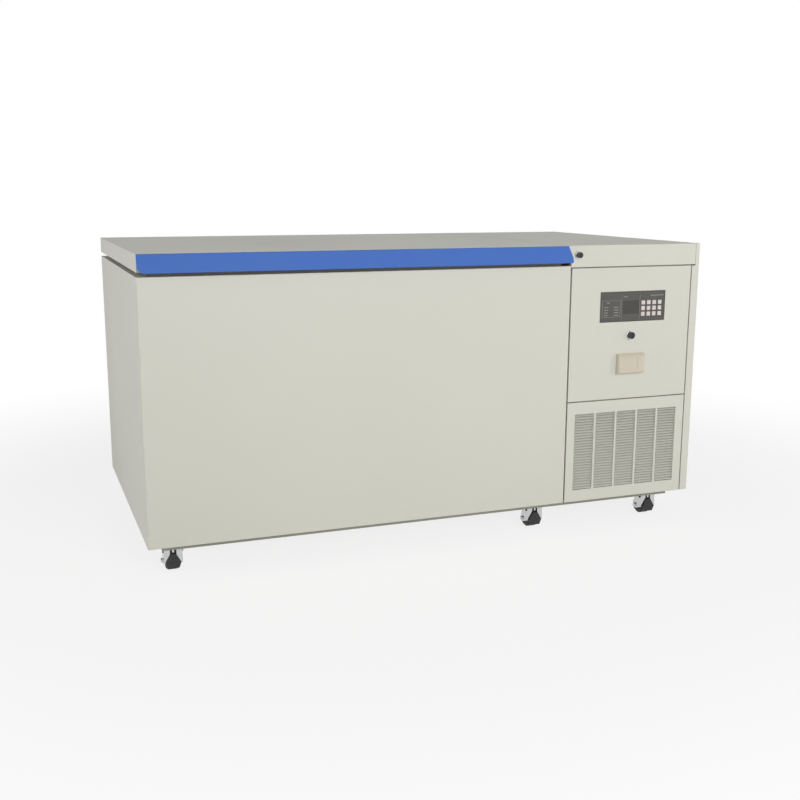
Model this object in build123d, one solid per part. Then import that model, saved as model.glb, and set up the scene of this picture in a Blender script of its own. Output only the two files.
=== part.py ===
from build123d import *
import math
import os

# Chest ultra low temperature freezer, with its machine bay on the right.
# Millimetres. X runs to the right, Y to the back and Z up. The origin is on the floor under the
# middle of the whole freezer, and the front faces -Y.

# Cabinet
CHEST_W = 1420.0  # insulated chest, left side to the seam with the bay
BAY_W = 510.0  # machine bay, seam to its right side
DEPTH = 1050.0  # front face to back face
BODY_H = 820.0  # bottom pan to the chest's rim
UNDER_H = 105.0  # floor to the bottom pan
LID_RISE = 68.0  # rim to the top of the lid and of the bay
SHEET = 2.0  # painted steel sheet
CORNER_R = 4.0  # bend radius on the cabinet's upright edges
SEAT = 0.3  # gap left between pieces that rest or move on each other

# Insulated walls
WALL = 130.0  # outside of the skin to the inside of the liner
LINER = 2.0
LINER_R = 30.0  # inside corner radius of the chamber
RIM_FLANGE = 24.0  # skin folded inwards along the rim
THROAT_T = 6.0
THROAT_SKIRT = 2.5
THROAT_DROP = 28.0
COIL_H = 14.0  # flattened evaporator tube, height against the liner
COIL_T = 8.0
COIL_TURNS = 6
COIL_STEP = 90.0
COIL_LOW = 40.0  # chamber floor to the lowest turn

# Lid
LID_OVERHANG = 20.0  # lid skin in front of the chest
LID_SIDE_GAP = 3.0  # between the lid's right end and the bay
LID_LIFT = 15.0  # rim to the lid's lower edge
PLUG_GAP = 12.0  # chamber wall to the inner lid panel
PLUG_DEPTH = 34.0  # first step of the inner lid panel, under the rim
STEP_DEPTH = 22.0
STEP_IN = 14.0
PLUG_R = 20.0
LID_PANEL_T = 2.0
GASKET_IN = 30.0  # lid edge to the gasket
GASKET_W = 22.0
GASKET_LIP = 6.0

# Handle strip along the lid's front
HANDLE_REACH = 40.0  # nose of the strip in front of the chest
HANDLE_TOP = 5.0  # strip's top edge in front of the lid skin
HANDLE_DROP = 55.0  # height of the strip
HANDLE_T = 4.0
HANDLE_WEB = 10.0
HANDLE_NOSE_R = 1.6
HANDLE_END = 11.0  # right end of the strip, short of the lid's end
HANDLE_CORNER_R = 22.0
HANDLE_RAKE = 12.0  # how far the right end's upper corner is cut back
HANDLE_RAKE_H = 36.0
END_WALL_T = 3.0

# Rear hinges
HINGE_COUNT = 3
HINGE_INSET = 200.0  # outer hinges from the chest's ends
HINGE_OFFSET = 22.0  # pin axis behind the chest
HINGE_RISE = 8.0  # pin axis above the rim
KNUCKLE_R = 12.0
KNUCKLE_W = 27.0
KNUCKLE_GAP = 0.5
EAR_T = 6.0
HINGE_PIN_R = 5.0
PIN_FIT = 0.05  # radial running clearance on every pin and axle
LEAF_T = 4.0
LEAF_W = 80.0
LEAF_H = 68.0
ARM_H = 42.0

# Base frame
BASE_H = 18.0
BASE_T = 3.0
BASE_SETBACK = 30.0  # front rail behind the front face
BASE_LEFT = 45.0
BASE_RIGHT = 69.0
RAIL_W = 50.0
CROSS_W = 90.0
FLOOR_T = 3.0

# Bay panels
PANEL_GAP = 4.0
PANEL_T = 1.5
PANEL_RETURN = 15.0
POST_W = 30.0  # folded front edge of the side panel
HEADER_POST_W = 17.0  # the same edge beside the header
HEADER_H = 72.0
HEADER_GAP = 1.0
LOWER_SHARE = 0.4305  # lower panel's height, as a share of the body's
FRAME_W = 26.0
FRAME_D = 20.0
LEFT_FLANGE_H = 48.0

# Louvre
LOUVRE_COLS = 5
LOUVRE_STEP = 9.6
LOUVRE_BAR_W = 7.4
LOUVRE_LEFT = 34.0  # seam to the first window
LOUVRE_RIGHT = 66.4  # last window to the right side
LOUVRE_LOW = 42.0  # panel's lower and upper edges to the windows
BLADE_DEPTH = 9.0
BLADE_RISE = 5.0  # blade's rise from front to back
BLADE_T = 1.6
BLADE_START = 1.5  # lowest window edge to the lowest blade

# Rear air slots
REAR_SLOTS = 12
REAR_SLOT_STEP = 16.0
REAR_SLOT_H = 6.0
REAR_SIDE = 85.0  # slots to the edges of the bay
REAR_SLOT_COLS = 2
REAR_SLOT_RISE = 10.0  # lowest slot above the middle of the body
REAR_COL_GAP = 40.0

# Control fascia and keys
FASCIA_SHIFT = 9.0  # fascia's middle to the left of the bay's
FASCIA_DROP = 160.0  # top of the bay to the fascia
FASCIA_W = 256.0
FASCIA_H = 101.0
FASCIA_T = 4.0
FASCIA_SINK = 1.5
FASCIA_GAP = 1.5
KEY_COLS = 4
KEY_ROWS = 3
KEY_W = 14.0
KEY_LEFT = 0.665  # first key column, as a share of the fascia's width
KEY_STEP = 0.0867
KEY_TOP = 0.385  # first key row down from the top, as a share of its height
KEY_DROP = 0.195
KEY_PROUD = 1.2
KEY_TRAVEL = 1.0
KEY_FIT = 0.4
KEY_FLANGE = 1.4
KEY_FLANGE_T = 1.2
WINDOW_LEFT = 0.345
WINDOW_W = 0.255
WINDOW_TOP = 0.30
WINDOW_H = 0.46
WINDOW_T = 1.5
CASE_D = 60.0
CASE_T = 2.0
STRAP_W = 26.0

# Locks
SWITCH_SHIFT = 15.0  # power key switch to the left of the bay's middle
SWITCH_DROP = 310.0  # and below its top
SWITCH_R = 17.0
LOCK_X = 26.0  # lid lock from the seam
LOCK_DROP = 31.0
LOCK_R = 15.0
COLLAR_PROUD = 5.0
PLUG_PROUD = 9.0
BARREL_WALL = 3.5
BARREL_L = 24.0
KEYWAY_W = 2.4
KEYWAY_DEEP = 3.0
KEYWAY_SPAN = 0.67  # length of the keyway, as a share of the plug's width
CAM_CATCH = 3.0  # cam's reach past the lid's end
CAM_W = 10.0
CAM_T = 3.0
CAM_ROOM = 1.5  # slot's room round the cam in the lid's end

# Data logger
LOGGER_DROP = 407.5  # top of the bay to the logger's middle
LOGGER_W = 104.0
LOGGER_H = 68.0
LOGGER_D = 20.0
LOGGER_R = 4.0
LOGGER_BROW = 9.0  # slope along its upper front edge
LOGGER_SINK = 1.2
LOGGER_BORDER = 14.0
LOGGER_SIDE = 28.0  # wider border on the side of the marks

# Casters
CASTER_LEFT = 83.0  # left swivel axes from the chest's left side
CASTER_MIDDLE = 75.0  # middle ones from the seam
CASTER_RIGHT = 118.0  # right ones from the bay's right side
CASTER_FRONT = 97.0  # front swivel axes behind the front face
CASTER_BACK = 100.0  # rear swivel axes from the back face
WHEEL_R = 31.0
WHEEL_W = 40.0
WHEEL_CHAMFER = 6.0
WHEEL_HUB_R = 10.0
TRAIL = 8.0  # axle behind the swivel axis
AXLE_R = 5.0
BOLT_HEAD_R = 7.5
BOLT_HEAD_T = 5.0
FORK_W = 58.0
FORK_T = 3.0
FORK_TOP = 80.0
FORK_FRONT = 30.0
FORK_REAR = 24.0
FORK_SLOT = 10.0  # half the gap between the fork's front flanges
LEG_TOP_D = 36.0  # side plates' depth under the crown
LEG_LOW = 32.0  # lower corner of their front edge
FLANGE_LOW = 45.0  # inner lower corner of the flanges
TONGUE_W = 6.0  # narrow strip between the flanges
TONGUE_LOW = 66.0
RACE_R = 22.0
PLATE_W = 76.0
PLATE_T = 3.0
KINGPIN_R = 6.0
KINGPIN_NUT_R = 10.0
KINGPIN_NUT_T = 5.0
PEDAL_PIVOT_Y = 22.0  # in front of the swivel axis
PEDAL_PIVOT_Z = 68.0
PEDAL_PIN_R = 3.0
PEDAL_HUB_R = 4.0
PEDAL_T = 3.0
PEDAL_NECK = 8.0
PEDAL_WIDE = 24.0
PEDAL_FOOT = 17.0
PEDAL_WIDE_Z = 34.0
PEDAL_LOW = 16.0
PEDAL_TOP = 61.0
PEDAL_PIN_PROUD = 3.0
BRAKE_SWING_DEG = 15.0  # pedal's travel until the shoe points at the axle
SHOE_T = 6.0
SHOE_GAP = 0.4  # shoe to tread when the brake is on

# Refrigeration
CONDENSER_SIDE = 40.0  # condenser to the sides of the bay
CONDENSER_UNDER = 63.0  # how much lower it is than the lower panel
CONDENSER_D = 50.0
CONDENSER_GAP = 30.0  # front frame to the condenser
FIN_COUNT = 20
FIN_GROOVE = 6.0
FIN_GAP = 0.5  # groove's width, as a share of the fin spacing
TUBE_R = 5.0
TUBE_ROWS = 4
FAN_MARGIN = 27.0  # fan to the condenser's edges
FAN_RING_GAP = 5.0
FAN_HUB_R = 38.0
FAN_DEPTH = 34.0
FAN_BLADES = 5
FAN_BLADE_T = 3.0
FAN_PITCH_DEG = 28.0
FAN_CHORD = 0.8  # blade's width, as a share of what the hub's depth allows
FAN_ROOT = 4.0  # blade's foot inside the hub
SHROUD_T = 3.0
SHROUD_D = 44.0
MOTOR_R = 40.0
MOTOR_L = 60.0
MOTOR_SHAFT_R = 4.0
STRUT_W = 16.0
COMPRESSOR_R = 92.0
COMPRESSOR_H = 270.0
COMPRESSOR_FOOT = 22.0
COMPRESSOR_BASE_T = 5.0
COMPRESSOR_BACK = 290.0  # rear compressor from the back face
COMPRESSOR_STEP = 230.0  # front one from the rear one
COMPRESSOR_SHIFT = 20.0  # both to the left of the bay's middle
GROMMET_R = 13.0
GROMMET_INSET = 3.0  # grommet's edge to the base plate's edge
BAND_H = 10.0  # weld band round the compressor
BAND_PROUD = 3.0
PIPE_R = 6.0
PIPE_BEND = 30.0
PIPE_BEND_SHARE = 0.45  # largest bend radius, as a share of the shortest run
PIPE_RISE = 70.0  # lines above the compressors
LINE_STEP = 80.0  # liquid line above the others
PORT_Z = 300.0
PORT_BACK = 450.0
FILTER_R = 20.0
FILTER_L = 120.0

# Power cord gland
GLAND_RIGHT = 110.0
GLAND_Z = 120.0
GLAND_R = 13.0
GLAND_HEX_R = 17.0
GLAND_BORE_R = 5.0
GLAND_L = 20.0
GLAND_NOSE = 3.0

HINGE_REACH = HINGE_OFFSET + KNUCKLE_R
LEFT = -(CHEST_W + BAY_W) / 2
SEAM = LEFT + CHEST_W
RIGHT = SEAM + BAY_W
FRONT = (HANDLE_REACH - HINGE_REACH - DEPTH) / 2
BACK = FRONT + DEPTH
BOTTOM = UNDER_H
RIM = BOTTOM + BODY_H
TOP = RIM + LID_RISE
LID_RIGHT = SEAM - LID_SIDE_GAP
LID_FRONT = FRONT - LID_OVERHANG
LID_LOW = RIM + LID_LIFT
BASE_LOW = BOTTOM - BASE_H
PANEL_LEFT = SEAM + PANEL_GAP
PANEL_RIGHT = RIGHT - POST_W - PANEL_GAP
LOWER_PANEL_H = BODY_H * LOWER_SHARE
UPPER_LOW = BOTTOM + LOWER_PANEL_H + PANEL_GAP
UPPER_TOP = TOP - HEADER_H - PANEL_GAP
FRAME_FRONT = FRONT + PANEL_RETURN
FRAME_BACK = FRAME_FRONT + FRAME_D
BAY_FLOOR = BOTTOM + FLOOR_T
FASCIA_X = SEAM + (BAY_W - FASCIA_W) / 2 - FASCIA_SHIFT
FASCIA_Z = TOP - FASCIA_DROP - FASCIA_H
SWITCH_X = SEAM + BAY_W / 2 - SWITCH_SHIFT
SWITCH_Z = TOP - SWITCH_DROP
LOGGER_Z = TOP - LOGGER_DROP
LOCK_Z = TOP - LOCK_DROP
CASTER_X = (LEFT + CASTER_LEFT, SEAM - CASTER_MIDDLE, RIGHT - CASTER_RIGHT)
CONDENSER_W = BAY_W - 2 * CONDENSER_SIDE
CONDENSER_H = LOWER_PANEL_H - CONDENSER_UNDER
FAN_R = CONDENSER_H / 2 - FAN_MARGIN
COMPRESSOR_X = SEAM + BAY_W / 2 - COMPRESSOR_SHIFT
REAR_SLOT_W = (BAY_W - REAR_COL_GAP - 2 * REAR_SIDE) / REAR_SLOT_COLS
REAR_SLOT_LOW = BODY_H / 2 + REAR_SLOT_RISE
LOUVRE_BARS_W = (LOUVRE_COLS - 1) * LOUVRE_BAR_W
LOUVRE_COL_W = (BAY_W - LOUVRE_LEFT - LOUVRE_RIGHT - LOUVRE_BARS_W) / LOUVRE_COLS
LOUVRE_ROWS = int((LOWER_PANEL_H - 2 * LOUVRE_LOW) / LOUVRE_STEP)
LOUVRE_W = LOUVRE_COLS * LOUVRE_COL_W + LOUVRE_BARS_W
LOUVRE_H = LOUVRE_ROWS * LOUVRE_STEP
LOUVRE_X = SEAM + LOUVRE_LEFT
LOUVRE_Z = BOTTOM + LOUVRE_LOW
HINGE_Y = BACK + HINGE_OFFSET
HINGE_Z = RIM + HINGE_RISE
CAM_L = LOCK_X + LID_SIDE_GAP + CAM_CATCH


def save(node, *shapes):
    """Write the solids of one node to its STEP file."""
    solids = [solid for shape in shapes for solid in shape.solids()]
    export_step(Compound(solids), f"parts/{node}.step")


def block(x0, x1, y0, y1, z0, z1):
    """A box between two opposite corners."""
    centre = Pos((x0 + x1) / 2, (y0 + y1) / 2, (z0 + z1) / 2)
    return centre * Box(x1 - x0, y1 - y0, z1 - z0)


def rounded(x0, x1, y0, y1, z0, z1, radius):
    """A box with its four upright edges rounded."""
    outline = Pos((x0 + x1) / 2, (y0 + y1) / 2, z0) * RectangleRounded(x1 - x0, y1 - y0, radius)
    return extrude(outline, z1 - z0)


def rod_x(x0, x1, y, z, radius):
    """A cylinder along X."""
    return Pos((x0 + x1) / 2, y, z) * Rot(0, 90, 0) * Cylinder(radius, x1 - x0)


def rod_y(x, y0, y1, z, radius):
    """A cylinder along Y."""
    return Pos(x, (y0 + y1) / 2, z) * Rot(90, 0, 0) * Cylinder(radius, y1 - y0)


def rod_z(x, y, z0, z1, radius):
    """An upright cylinder."""
    return Pos(x, y, (z0 + z1) / 2) * Cylinder(radius, z1 - z0)


def carried_x(outline, x0, x1):
    """A sketch of (y, z) points carried from x0 to x1."""
    return extrude(Plane.YZ.offset(x0) * outline, x1 - x0, dir=(1, 0, 0))


def carried_y(outline, y0, y1):
    """A sketch of (x, z) points carried from y0 to y1."""
    return extrude(Plane.XZ.offset(-y0) * outline, y1 - y0, dir=(0, 1, 0))


def flat(*points):
    """A closed sketch through its points."""
    return Polygon(*points, align=None)


def filleted(points, radii):
    """A closed sketch whose corners are rounded, each by its own radius."""
    return make_face(FilletPolyline(*points, radius=radii, close=True))


def chamber(grow, z0, z1):
    """The chamber's rounded plan, grown outwards from the liner's inner face."""
    inset = WALL - grow
    return rounded(LEFT + inset, SEAM - inset, FRONT + inset, BACK - inset, z0, z1, LINER_R + grow)


def outer_shell():
    """Painted skin of the chest: bottom pan, four walls and a flange folded in along the rim."""
    skin = rounded(LEFT, SEAM, FRONT, BACK, BOTTOM, RIM, CORNER_R)
    hollow = block(LEFT + SHEET, SEAM - SHEET, FRONT + SHEET, BACK - SHEET, BOTTOM + SHEET, RIM - SHEET)
    mouth = block(
        LEFT + RIM_FLANGE, SEAM - RIM_FLANGE, FRONT + RIM_FLANGE, BACK - RIM_FLANGE, RIM - SHEET, RIM
    )
    return skin - hollow - mouth - line_ports()


def throat_frame():
    """Plastic frame from the skin's flange to the liner, with a skirt down inside the liner."""
    inset = RIM_FLANGE
    ring = block(LEFT + inset, SEAM - inset, FRONT + inset, BACK - inset, RIM - THROAT_T, RIM)
    skirt = chamber(0, RIM - THROAT_DROP, RIM)
    return ring + skirt - chamber(-THROAT_SKIRT, RIM - THROAT_DROP, RIM)


def inner_liner():
    """Stainless chamber, open at the top."""
    floor = BOTTOM + WALL
    return chamber(LINER, floor - LINER, RIM - THROAT_T) - chamber(0, floor, RIM)


def evaporator_coil():
    """Flattened tube in level turns round the liner, joined by a riser on the bay's side."""
    turns = []
    for turn in range(COIL_TURNS):
        low = BOTTOM + WALL + COIL_LOW + turn * COIL_STEP
        turns.append(chamber(LINER + COIL_T, low, low + COIL_H) - chamber(LINER, low, low + COIL_H))
    low = BOTTOM + WALL + COIL_LOW
    face = SEAM - WALL + LINER
    middle = (FRONT + BACK) / 2
    riser = block(face, face + COIL_T, middle, middle + COIL_H, low, low + (COIL_TURNS - 1) * COIL_STEP)
    return turns[0] + turns[1:] + riser


def line_ports():
    """Bores for the suction and liquid lines, from the bay through to the evaporator."""
    face = SEAM - WALL + LINER + COIL_T
    low = BOTTOM + PORT_Z
    suction = rod_x(face, SEAM, BACK - PORT_BACK, low, PIPE_R)
    liquid = rod_x(face, SEAM, BACK - PORT_BACK, low + COIL_STEP, PIPE_R)
    return suction + liquid


def insulation_foam(coil):
    """Foam between the skin and the liner, moulded round the evaporator."""
    foam = block(LEFT + SHEET, SEAM - SHEET, FRONT + SHEET, BACK - SHEET, BOTTOM + SHEET, RIM - SHEET)
    inset = RIM_FLANGE
    rebate = block(LEFT + inset, SEAM - inset, FRONT + inset, BACK - inset, RIM - THROAT_T, RIM)
    return foam - chamber(LINER, BOTTOM + WALL - LINER, RIM) - rebate - coil - line_ports()


def lid_shell():
    """Painted lid tray, with a slot in its right end for the lock's cam."""
    tray = block(LEFT, LID_RIGHT, LID_FRONT, BACK, LID_LOW, TOP)
    hollow = block(LEFT + SHEET, LID_RIGHT - SHEET, LID_FRONT + SHEET, BACK - SHEET, LID_LOW, TOP - SHEET)
    return tray - hollow - cam_slot()


def cam_slot():
    """Room in the lid's right end for the lock's cam, which swings in from below."""
    back = FRONT + BARREL_L
    x = SEAM + LOCK_X
    z = LOCK_Z
    sweep = math.hypot(CAM_L, CAM_W / 2)
    drop = math.sqrt(sweep**2 - (LOCK_X + LID_SIDE_GAP) ** 2) + CAM_ROOM
    reach = CAM_L + CAM_ROOM
    front = back - CAM_ROOM
    return block(x - reach, LID_RIGHT, front, back + CAM_T + CAM_ROOM, z - drop, z + CAM_W / 2 + CAM_ROOM)


def plug(inset, z0, z1):
    """One step of the inner lid panel, set in from the chamber's walls."""
    edge = WALL + PLUG_GAP + inset
    return rounded(LEFT + edge, SEAM - edge, FRONT + edge, BACK - edge, z0, z1, PLUG_R)


def lid_inner_panel():
    """Formed panel under the lid: a flange and a plug in two steps that fills the throat."""
    step = RIM - PLUG_DEPTH
    low = step - STEP_DEPTH
    flange = block(
        LEFT + SHEET, LID_RIGHT - SHEET, LID_FRONT + SHEET, BACK - SHEET, LID_LOW, LID_LOW + LID_PANEL_T
    )
    outside = flange + plug(0, step, LID_LOW) + plug(STEP_IN, low, step)
    inside = plug(LID_PANEL_T, step + LID_PANEL_T, LID_LOW + LID_PANEL_T)
    deep = plug(STEP_IN + LID_PANEL_T, low + LID_PANEL_T, step + LID_PANEL_T)
    return outside - inside - deep


def lid_foam():
    """Foam that fills the lid shell and the plug."""
    step = RIM - PLUG_DEPTH
    low = step - STEP_DEPTH
    slab = block(
        LEFT + SHEET, LID_RIGHT - SHEET, LID_FRONT + SHEET, BACK - SHEET, LID_LOW + LID_PANEL_T, TOP - SHEET
    )
    upper = plug(LID_PANEL_T, step + LID_PANEL_T, LID_LOW + LID_PANEL_T)
    lower = plug(STEP_IN + LID_PANEL_T, low + LID_PANEL_T, step + LID_PANEL_T)
    return slab + upper + lower - cam_slot()


def lid_gasket():
    """Soft seal under the lid: a hollow bulb section on a flat lip, mitred at the corners."""
    edge = GASKET_IN
    low = RIM + SEAT
    ring = block(LEFT + edge, LID_RIGHT - edge, LID_FRONT + edge, BACK - edge, low, LID_LOW)
    edge = GASKET_IN + GASKET_W
    ring -= block(LEFT + edge, LID_RIGHT - edge, LID_FRONT + edge, BACK - edge, low, LID_LOW)
    edge = GASKET_IN + GASKET_W - GASKET_LIP
    notch = block(LEFT + edge, LID_RIGHT - edge, LID_FRONT + edge, BACK - edge, low, LID_LOW - GASKET_LIP)
    return ring - notch


def handle_section():
    """The strip's section: a web on the lid and a raked skirt with a rounded nose."""
    top_y = LID_FRONT - HANDLE_TOP
    nose_y = FRONT - HANDLE_REACH
    low = TOP - HANDLE_DROP
    points = [
        (LID_FRONT, TOP),
        (top_y, TOP),
        (nose_y, low + HANDLE_T),
        (nose_y, low),
        (nose_y + HANDLE_T, low),
        (LID_FRONT - HANDLE_NOSE_R, TOP - HANDLE_WEB),
        (LID_FRONT, TOP - HANDLE_WEB),
    ]
    return filleted(points, [0, HANDLE_NOSE_R, HANDLE_NOSE_R, HANDLE_NOSE_R, HANDLE_NOSE_R, 0, 0])


def handle_outline():
    """The strip seen from the front: lower corners rounded, right end raked."""
    low = TOP - HANDLE_DROP
    right = LID_RIGHT - HANDLE_END
    points = [
        (LEFT, TOP),
        (LEFT, low),
        (right, low),
        (right, TOP - HANDLE_RAKE_H),
        (right - HANDLE_RAKE, TOP),
    ]
    return filleted(points, [0, HANDLE_CORNER_R, HANDLE_NOSE_R + HANDLE_T, HANDLE_CORNER_R, 0])


def lid_handle():
    """Full width handle strip with a finger groove behind its skirt, closed by a wall at each end."""
    strip = carried_x(handle_section(), LEFT, LID_RIGHT)
    low = TOP - HANDLE_DROP
    skirt_top = (LID_FRONT - HANDLE_NOSE_R, TOP - HANDLE_WEB)
    skirt_low = (FRONT - HANDLE_REACH + HANDLE_T, low + HANDLE_T)
    end = flat((LID_FRONT, TOP - HANDLE_WEB), skirt_top, skirt_low, (LID_FRONT, low + HANDLE_T))
    left = LEFT + HANDLE_CORNER_R
    right = LID_RIGHT - HANDLE_END - HANDLE_CORNER_R
    strip += carried_x(end, left, left + END_WALL_T)
    strip += carried_x(end, right - END_WALL_T, right)
    return strip & carried_y(handle_outline(), FRONT - HANDLE_REACH, LID_FRONT)


def hinge_places():
    """X of each hinge."""
    span = CHEST_W - 2 * HINGE_INSET
    return [LEFT + HINGE_INSET + span * place / (HINGE_COUNT - 1) for place in range(HINGE_COUNT)]


def hinge_bracket(x):
    """Leaf on the chest's back, two ears and the pin they carry."""
    high = RIM - HINGE_RISE
    leaf = block(x - LEAF_W / 2, x + LEAF_W / 2, BACK, BACK + LEAF_T, high - LEAF_H, high)
    inner = KNUCKLE_W / 2 + KNUCKLE_GAP
    back = BACK + LEAF_T
    foot = flat((BACK, high), (back, high), (back, high - LEAF_H), (BACK, high - LEAF_H))
    ear_outline = make_hull((Pos(HINGE_Y, HINGE_Z) * Circle(KNUCKLE_R)).edges() + foot.edges())
    ears = []
    for near, far in ((inner, inner + EAR_T), (-inner - EAR_T, -inner)):
        ears.append(carried_x(ear_outline, x + near, x + far))
    pin = rod_x(x - inner - EAR_T, x + inner + EAR_T, HINGE_Y, HINGE_Z, HINGE_PIN_R)
    return leaf + ears + pin


def hinge_arm(x):
    """Leaf on the lid's back with the knuckle that turns on the pin."""
    low = LID_LOW + SHEET
    leaf = block(x - LEAF_W / 2, x + LEAF_W / 2, BACK, BACK + LEAF_T, low, low + ARM_H)
    half = KNUCKLE_W / 2
    outer = (HINGE_Y, HINGE_Z + KNUCKLE_R)
    web = flat((BACK, low), (BACK, low + ARM_H), outer, (HINGE_Y, HINGE_Z + HINGE_PIN_R))
    knuckle = carried_x(web, x - half, x + half) + rod_x(x - half, x + half, HINGE_Y, HINGE_Z, KNUCKLE_R)
    bore = rod_x(x - half, x + half, HINGE_Y, HINGE_Z, HINGE_PIN_R + PIN_FIT)
    return leaf + knuckle - bore


def base_frame():
    """Ladder of upward channels under the cabinet, and the bay's floor welded on top."""
    x0 = LEFT + BASE_LEFT
    x1 = RIGHT - BASE_RIGHT
    y0 = FRONT + BASE_SETBACK
    y1 = BACK - BASE_SETBACK
    centres = [x0 + CROSS_W / 2, SEAM - CASTER_MIDDLE, x1 - CROSS_W / 2]
    bars = [(x0, x1, y0, y0 + RAIL_W), (x0, x1, y1 - RAIL_W, y1)]
    bars += [(x - CROSS_W / 2, x + CROSS_W / 2, y0, y1) for x in centres]
    steel = [block(*bar, BASE_LOW, BOTTOM) for bar in bars]
    rooms = []
    for left, right, front, back in bars:
        room = (left + BASE_T, right - BASE_T, front + BASE_T, back - BASE_T)
        rooms.append(block(*room, BASE_LOW + BASE_T, BOTTOM))
    ladder = steel[0] + steel[1:] - rooms
    floor = block(SEAM, RIGHT - SHEET, FRAME_FRONT, BACK - 2 * SHEET, BOTTOM, BAY_FLOOR)
    return ladder + floor


def front_frame():
    """Square bars behind the bay's front panels, which seat on it."""
    x0 = SEAM
    x1 = RIGHT - SHEET
    high = TOP - SHEET
    frame = block(x0, x1, FRAME_FRONT, FRAME_BACK, BAY_FLOOR, high)
    middle = BOTTOM + LOWER_PANEL_H + PANEL_GAP / 2
    lower = (BAY_FLOOR + FRAME_W, middle - FRAME_W / 2)
    upper = (middle + FRAME_W / 2, high - HEADER_H - FRAME_W / 2)
    for low, top in (lower, upper):
        frame -= block(x0 + FRAME_W, x1 - FRAME_W - POST_W, FRAME_FRONT, FRAME_BACK, low, top)
    return frame - lock_room()


def lock_room():
    """Clear room in the front frame behind the lid lock and its cam."""
    x = SEAM + LOCK_X
    z = LOCK_Z
    reach = CAM_L + CAM_ROOM
    return block(SEAM, x + reach, FRAME_FRONT, FRAME_BACK, z - reach, z + LOCK_R)


def side_panel():
    """Right side of the bay, folded round the front, the top and the back."""
    pan = block(RIGHT - POST_W, RIGHT, FRONT, BACK, BOTTOM, TOP)
    pan = fillet(pan.edges().filter_by(Axis.Z).sort_by(Axis.X)[-2:], CORNER_R)
    pan -= block(RIGHT - POST_W, RIGHT - SHEET, FRONT + SHEET, BACK - SHEET, BOTTOM, TOP - SHEET)
    header = TOP - HEADER_H - PANEL_GAP
    pan -= block(RIGHT - POST_W, RIGHT - HEADER_POST_W, FRONT, BACK, header, TOP)
    return pan + block(RIGHT - POST_W, RIGHT - POST_W + SHEET, FRONT, FRAME_FRONT, BOTTOM, header)


def top_cover():
    """Top of the bay with its folded front header, rear flange and left flange."""
    x0 = SEAM
    x1 = RIGHT - HEADER_POST_W - HEADER_GAP
    low = TOP - HEADER_H
    cover = block(x0, x1, FRONT, BACK, TOP - SHEET, TOP)
    cover += block(x0, x1, FRONT, FRONT + SHEET, low, TOP)
    cover += block(x0, x1, FRONT, FRAME_FRONT, low, low + SHEET)
    cover += block(x0, x1, BACK - SHEET, BACK, low, TOP)
    cover += block(x0, x0 + SHEET, FRAME_BACK, BACK - 2 * SHEET, TOP - LEFT_FLANGE_H, TOP)
    cover += block(x0, x0 + SHEET, FRONT, FRAME_FRONT, RIM + SHEET, TOP)
    return cover - rod_y(SEAM + LOCK_X, FRONT, FRAME_FRONT, LOCK_Z, LOCK_R - BARREL_WALL / 2)


def tray(z0, z1):
    """Bay panel with its four edges folded back."""
    outside = block(PANEL_LEFT, PANEL_RIGHT, FRONT, FRAME_FRONT, z0, z1)
    left = PANEL_LEFT + PANEL_T
    right = PANEL_RIGHT - PANEL_T
    return outside - block(left, right, FRONT + PANEL_T, FRAME_FRONT, z0 + PANEL_T, z1 - PANEL_T)


def control_panel():
    """Upper panel, cut out for the fascia and bored for the power key switch."""
    x0 = FASCIA_X
    z0 = FASCIA_Z
    gap = FASCIA_GAP
    window = block(x0 - gap, x0 + FASCIA_W + gap, FRONT, FRAME_FRONT, z0 - gap, z0 + FASCIA_H + gap)
    bore = rod_y(SWITCH_X, FRONT, FRAME_FRONT, SWITCH_Z, SWITCH_R - BARREL_WALL / 2)
    return tray(UPPER_LOW, UPPER_TOP) - window - bore


def louvre_blade(row):
    """One inclined blade behind all the windows, its edges upright at the front and the back."""
    y0 = FRONT + PANEL_T
    y1 = y0 + BLADE_DEPTH
    low = LOUVRE_Z + BLADE_START + row * LOUVRE_STEP
    rise = low + BLADE_RISE
    section = flat((y0, low), (y1, rise), (y1, rise + BLADE_T), (y0, low + BLADE_T))
    return carried_x(section, LOUVRE_X - LOUVRE_BAR_W / 2, LOUVRE_X + LOUVRE_W + LOUVRE_BAR_W / 2)


def front_grille_panel():
    """Lower panel: five windows between bars, and the inclined blades that the bars carry."""
    sheet = tray(BOTTOM, BOTTOM + LOWER_PANEL_H)
    y0 = FRONT + PANEL_T
    ribs = []
    for column in range(LOUVRE_COLS + 1):
        x = LOUVRE_X + column * (LOUVRE_COL_W + LOUVRE_BAR_W) - LOUVRE_BAR_W
        ribs.append(block(x, x + LOUVRE_BAR_W, y0, y0 + BLADE_DEPTH, LOUVRE_Z, LOUVRE_Z + LOUVRE_H))
    for column in range(LOUVRE_COLS):
        x = LOUVRE_X + column * (LOUVRE_COL_W + LOUVRE_BAR_W)
        sheet -= block(x, x + LOUVRE_COL_W, FRONT, y0, LOUVRE_Z, LOUVRE_Z + LOUVRE_H)
    blades = [louvre_blade(row) for row in range(LOUVRE_ROWS)]
    return sheet + ribs + blades


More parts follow.
